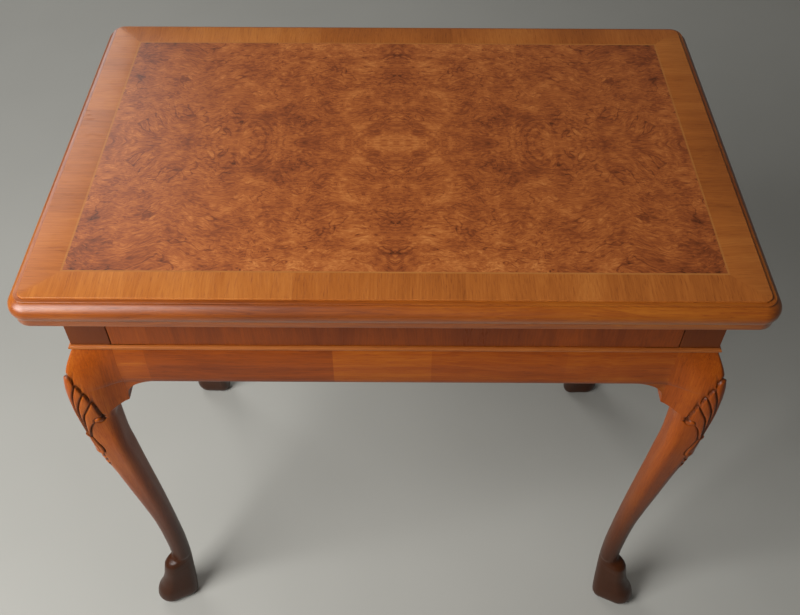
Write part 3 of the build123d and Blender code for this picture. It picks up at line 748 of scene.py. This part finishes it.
def carving(distance, height):
    """The knee's relief over its plain surface and how deep each point is cut, both in millimetres, at a distance from
    the arris and a height. Lobes stand 1.2 proud and crown by 0.9 more, grooves and the leaf's edge are cut in as
    bells, a volute ends the leaf, and a small leaf and a row of husks hang below it."""
    away = np.abs(distance)
    edge = flowing(away, *LEAF_TOP)
    foot = flowing(height, *LEAF_FOOT)
    grooves = [flowing(height, *groove) for groove in LEAF_GROOVES]
    below = smooth((edge - height) / 1.2 + 0.5)
    inside = smooth((foot - away) / 1.0 + 0.5)
    leaf = below * inside * smooth((height - LEAF_LOW) / 8)
    limits = [-grooves[0], *grooves, np.maximum(foot, grooves[-1] + 2)]
    crown = np.zeros_like(away)
    for low, high in zip(limits[:-1], limits[1:]):
        share = np.clip((away - low) / (high - low), 0, 1)
        crown += np.where((away >= low) & (away < high), np.sqrt(np.clip(1 - (2 * share - 1) ** 2, 0, 1)), 0)
    # A groove's true distance is shorter than its distance along the level, because it slopes.
    cuts = np.zeros_like(away)
    for groove, (levels, places) in zip(grooves, LEAF_GROOVES):
        slope = (flowing(height + 1, levels, places) - flowing(height - 1, levels, places)) / 2
        gap = (away - groove) / np.sqrt(1 + slope**2)
        fade = smooth((levels[-1] + 2 - height) / 5) * smooth((height - LEAF_LOW - 2) / 16)
        cuts = np.maximum(cuts, hump(gap, 1.0) * fade)
    fall = flowing(away + 0.5, *LEAF_TOP) - flowing(away - 0.5, *LEAF_TOP)
    beyond = (height - edge) / np.sqrt(1 + fall**2)
    rim = np.where(beyond > 0, hump(beyond, 2.2), hump(beyond, 0.7))
    rim = rim * smooth((LEAF_SIDE - away) / 2) * (height > LEAF_END)
    foot_gap = away - foot
    under = np.where(foot_gap > 0, hump(foot_gap, 1.6), hump(foot_gap, 0.6)) * (height < VOLUTE[1])
    under = under * smooth((height - LEAF_LOW - 2) / 6)
    round_volute = np.hypot(away - VOLUTE[0], height - VOLUTE[1])
    boss = np.sqrt(np.clip(1 - (round_volute / 5) ** 2, 0, 1))
    ring = hump(round_volute - 5.6, 0.9)
    pit = hump(np.hypot(away - PIT[0], height - PIT[1]), 2.6)
    # The lower leaf and the husks hang on the arris.
    width = flowing(height, *LOWER_LEAF)
    small = smooth((width - away) / 0.8 + 0.5) * (height < LOWER_ROOT) * (height > LOWER_TIP)
    small_edge = hump(away - width, 1.1)
    small_edge = small_edge * smooth((LOWER_ROOT - height) / 4) * smooth((height - LOWER_TIP + 1.5) / 3)
    vein = hump(away - width * 0.5, 0.7)
    vein = vein * smooth((LOWER_ROOT - 5 - height) / 6) * smooth((height - LOWER_TIP - 6) / 4)
    curl = small * hump(height - LOWER_TIP - 5, 3.2)
    husk_top, husk_end, pitch = HUSKS
    along = np.clip((husk_top - height) / pitch, 0, None) % 1.0
    husk_width = (6.0 - 2.6 * (husk_top - height) / (husk_top - husk_end)) * np.sqrt(np.clip(1 - along**2, 0, 1))
    on_husks = (height < husk_top) & (height > husk_end)
    husk = smooth((husk_width - away) / 0.8 + 0.5) * on_husks
    husk_edge = hump(away - husk_width, 0.9) * on_husks * (away < 7.5)
    relief = leaf * (1.2 + 0.9 * crown) + boss * 1.5 + small * 1.3 + curl * 1.0 + husk * (1.1 - 0.7 * along)
    leaf_depth = cuts * leaf + rim * 0.85 + under * 0.8 + ring * 0.6 + pit
    hung_depth = small_edge * 0.8 + vein * 0.6 + husk_edge * 0.7
    depth = np.clip(leaf_depth + hung_depth, 0, 1.2)
    return relief - 1.7 * depth, np.clip(depth, 0, 1)


def steps(*spans):
    """Heights from the first to the last of each (low, high, spacing), all in metres from millimetres."""
    levels = [np.arange(low, high, spacing) for low, high, spacing in spans]
    return np.concatenate(levels + [[spans[-1][1]]]) * MM


def column(stations, height):
    """A stations table's further columns, each flowing through its heights, in metres."""
    levels, *columns = zip(*stations)
    return [flowing(height / MM, levels, values) * MM for values in columns]


def foot_sections(height, share):
    """The foot's outlines: at each height the tightest band round the heel's round and the toe's round. The point that
    faces a direction is on whichever round reaches further that way, and the directions go once round with share."""
    heel_x, heel_y, heel, toe_x, toe_y, toe = column(FOOT_STATIONS, height)
    turn = np.radians(225 + 360 * share)
    facing = np.stack([np.cos(turn), np.sin(turn)], axis=-1)[None]
    heel_middle = np.stack([heel_x, heel_y], axis=-1)[:, None]
    toe_middle = np.stack([toe_x, toe_y], axis=-1)[:, None]
    on_heel = heel_middle + heel[:, None, None] * facing
    on_toe = toe_middle + toe[:, None, None] * facing
    heel_reach = np.sum(on_heel * facing, axis=-1, keepdims=True)
    toe_reach = np.sum(on_toe * facing, axis=-1, keepdims=True)
    plan = np.where(heel_reach > toe_reach, on_heel, on_toe)
    return np.concatenate([plan, np.broadcast_to(height[:, None, None], plan.shape[:2] + (1,))], axis=-1)


PEG_HOLE = 4.4 * MM
PEG_HOLE_DEPTH = 12 * MM
POST_ARRIS = 0.3 * MM
FALL_LOW = 440 * MM
FALL_SPAN = 90 * MM
CARVING_END, CARVING_FADE = 46, 4


def leg_sections():
    """A leg's outlines from the sole up, as for the back right corner and measured from the middle of its post, with
    the depth of the carver's cuts at each point."""
    foot_height = steps((2, 8, 1), (8, 20, 2), (20, 88, 3), (88, 104, 1))[:-1]
    height = steps((104, 400, 5), (400, 606, 0.8), (606, 623.5, 1.5))
    out, corner = column(OUTER_STATIONS, height)
    (inner_face,) = column(INNER_STATIONS, height)
    level = height / MM
    slack = (out - inner_face) / 2
    corner = np.minimum(corner, slack)
    edge = np.minimum(flowing(level, *EDGE_RADII) * MM, slack)
    inner = np.minimum(flowing(level, *INNER_RADII) * MM, slack)
    points, facing = leg_outline(out, inner_face, out, inner_face, corner, edge, inner)
    x, y = points[..., 0], points[..., 1]
    # The outer faces fall back toward the apron, more and more from the leg's middle up to the knee.
    part = smooth((height - FALL_LOW) / FALL_SPAN)[:, None]
    tall = height[:, None]
    share_y = (y - inner_face[:, None]) / (out - inner_face)[:, None]
    share_x = (x - inner_face[:, None]) / (out - inner_face)[:, None]
    shape = np.stack([x - fallen(y, tall) * part * share_x, y - fallen(x, tall) * part * share_y], axis=-1)
    # Distance from the arris, round the outline.
    lengths = np.linalg.norm(np.diff(points, axis=1), axis=-1)
    run = np.concatenate([np.zeros((len(height), 1)), np.cumsum(lengths, axis=1)], axis=1)
    middle = points.shape[1] // 2
    distance = (run - run[:, middle : middle + 1]) / MM
    relief, cut = carving(distance, np.broadcast_to(level[:, None], distance.shape))
    # The carving ends short of the leg's own edges.
    keep = smooth((CARVING_END - np.abs(distance)) / CARVING_FADE)
    shape = shape + facing * (relief * keep * MM)[..., None]
    body = np.concatenate([shape, np.broadcast_to(tall, x.shape)[..., None]], axis=-1)
    foot = foot_sections(foot_height, run[0] / run[0, -1])
    # The square post, and the hole for the top's peg in its end.
    half = np.full(4, POST / 2)
    small = np.full(4, POST_ARRIS)
    post = leg_outline(half, -half, half, -half, small, small, small)[0]
    hole = np.stack([post[0], post[0]])
    hole = hole / np.linalg.norm(hole, axis=-1, keepdims=True) * PEG_HOLE
    plans = np.concatenate([post[:2], hole])
    levels = np.array([KNEE_TOP, FRAME_TOP, FRAME_TOP, FRAME_TOP - PEG_HOLE_DEPTH])
    upper = np.concatenate([plans, np.broadcast_to(levels[:, None, None], plans.shape[:2] + (1,))], axis=-1)
    cuts = np.concatenate([np.zeros(foot.shape[:2]), cut * keep, np.zeros(plans.shape[:2])])
    return np.concatenate([foot, body, upper]), cuts


leg_shape, leg_cuts = leg_sections()
for corner, (sx, sy) in CORNERS.items():
    placed = (leg_shape + (POST_X, POST_Y, 0)) * (sx, sy, 1)
    piece(f"carved_leg_{corner}", placed, "frame", f"leg_{corner}", "walnut", leg_walnut, 50, cut=leg_cuts)

# ---------------------------------------------------------------- knee blocks and aprons

REBATE = 5 * MM
COVE_FOOT = KNEE_NOSE + 4 * MM
BLOCK_LENGTH = INNER_X - BLOCK_INNER


def block_sections():
    """A knee block's outlines along its run, as (along, out, up): along is how far inward of the leg's face, out is
    measured from the middle of the post. Its face blends from the knee to the apron, and its underside is a quarter of
    an ellipse, from the bracket's tip up to the underside of the apron."""
    along = np.linspace(0, 1, 25)[:, None]
    flat = np.zeros_like(along)
    cove = COVE_FOOT + (APRON_UNDER - COVE_FOOT) * np.sqrt(1 - (1 - along) ** 2)
    up = cove + (KNEE_TOP - cove) * np.linspace(0, 1, 40)[None, :]
    face = outer_face(up) - fallen(-POST / 2 - along * BLOCK_LENGTH, up)
    rebated, back = flat + POST / 2 - REBATE, flat + POST / 2 - BOARD
    out = np.concatenate([face, rebated, rebated, back, back], axis=1)
    tall = np.concatenate([up, flat + KNEE_TOP, flat + APRON_UNDER, flat + APRON_UNDER, cove], axis=1)
    return np.broadcast_to(along * BLOCK_LENGTH, out.shape), out, tall


block_along, block_out, block_up = block_sections()
for corner, (sx, sy) in CORNERS.items():
    back_front, left_right = corner.split("_")
    front_face = np.stack([sx * (INNER_X - block_along), sy * (POST_Y + block_out), block_up], axis=-1)
    side_face = np.stack([sx * (POST_X + block_out), sy * (INNER_Y - block_along), block_up], axis=-1)
    for face, placed, wood in ((back_front, front_face, apron_x), (left_right, side_face, apron_y)):
        node = f"knee_block_{corner}_{face}_face"
        piece(f"shaped_{node}", placed, "frame", node, "walnut", wood, 40)


def apron_sections(half_length, clear):
    """An apron's outlines along its length, as (along, out, up): its face swells and its lower edge is rounded, and its
    ends are rebated behind the knee blocks."""
    along = np.array([-half_length, -clear, -clear, clear, clear, half_length])[:, None]
    proud = np.array([0, 0, 1, 1, 0, 0])[:, None]
    flat = np.zeros_like(along)
    up = np.linspace(APRON_UNDER, KNEE_TOP, 40)[None, :]
    face = proud * (swell(up) + REBATE) - REBATE
    behind_bead = REBATE * proud - REBATE
    out = np.concatenate([face, behind_bead, behind_bead, flat - BOARD, flat - BOARD], axis=1)
    tall = np.concatenate([up + flat, flat + KNEE_TOP, flat + APRON_TOP, flat + APRON_TOP, flat + APRON_UNDER], axis=1)
    return np.broadcast_to(along, out.shape), out, tall


for side in SIDES:
    lengthways = side in ("front", "back")
    half, face = (INNER_X, FACE_Y) if lengthways else (INNER_Y, FACE_X)
    along, out, up = apron_sections(half, half - BLOCK_LENGTH)
    placed = turned(side, along, face + out, up)
    piece(f"swelled_apron_{side}", placed, "frame", f"apron_{side}", "walnut", apron_x if lengthways else apron_y, 40)

# ---------------------------------------------------------------- floor, lights and camera

FLOOR_SIZE = 12.0
floor_mesh = bpy.data.meshes.new("studio_floor")
reach = FLOOR_SIZE / 2
floor_corners = [(-reach, -reach, 0), (reach, -reach, 0), (reach, reach, 0), (-reach, reach, 0)]
floor_mesh.from_pydata(floor_corners, [], [(0, 1, 2, 3)])
floor = bpy.data.objects.new("studio_floor", floor_mesh)
bpy.context.scene.collection.objects.link(floor)
floor_finish = Finish("studio_floor")
floor_tone = floor_finish.noise(floor_finish.place, 3.0, 2.0)
floor_mesh.materials.append(
    floor_finish.surface(floor_finish.mix(floor_tone, sheen(170, 169, 162), sheen(180, 179, 172)), 0.7)
)


def softbox(name, place, target, width, height, power):
    """A rectangular area light that looks at a target."""
    light = bpy.data.lights.new(name, "AREA")
    light.shape = "RECTANGLE"
    light.size, light.size_y = width, height
    light.energy = power
    lamp = bpy.data.objects.new(name, light)
    bpy.context.scene.collection.objects.link(lamp)
    lamp.location = place
    lamp.rotation_euler = (Vector(target) - Vector(place)).to_track_quat("-Z", "Y").to_euler()


softbox("window_left", (-1.2, -0.9, 1.45), (0, 0, 0.6), 1.0, 1.0, 36)
softbox("skylight_left", (-0.75, -0.66, 1.9), (-0.3, -0.25, 0.73), 0.4, 0.3, 4)
softbox("door_back", (-2.0, 2.3, 2.2), (-0.2, 0, 0.7), 1.8, 1.4, 28)
softbox("fill_front", (-0.6, -2.4, 1.3), (0, 0, 0.5), 2.4, 1.6, 3)

world = bpy.data.worlds.new("studio_world")
world.use_nodes = True
world.node_tree.nodes["Background"].inputs["Color"].default_value = (0.94, 0.92, 0.88, 1)
world.node_tree.nodes["Background"].inputs["Strength"].default_value = 0.11
bpy.context.scene.world = world
bpy.context.scene.view_settings.view_transform = "Standard"

CAMERA_PLACE = Vector((0.0051, -0.8339, 1.3918))
CAMERA_DOWN = math.radians(48.352)
CAMERA_ROLL = math.radians(0.304)
LENS = 41.09

forward = Vector((0, math.cos(CAMERA_DOWN), -math.sin(CAMERA_DOWN)))
upright = Vector((0, math.sin(CAMERA_DOWN), math.cos(CAMERA_DOWN)))
level = Vector((1, 0, 0))
right = level * math.cos(CAMERA_ROLL) + upright * math.sin(CAMERA_ROLL)
above = upright * math.cos(CAMERA_ROLL) - level * math.sin(CAMERA_ROLL)
camera_data = bpy.data.cameras.new("camera")
camera_data.sensor_width = 36
camera_data.lens = LENS
camera = bpy.data.objects.new("camera", camera_data)
bpy.context.scene.collection.objects.link(camera)
camera.matrix_world = Matrix.Translation(CAMERA_PLACE) @ Matrix((right, above, -forward)).transposed().to_4x4()
bpy.context.scene.camera = camera
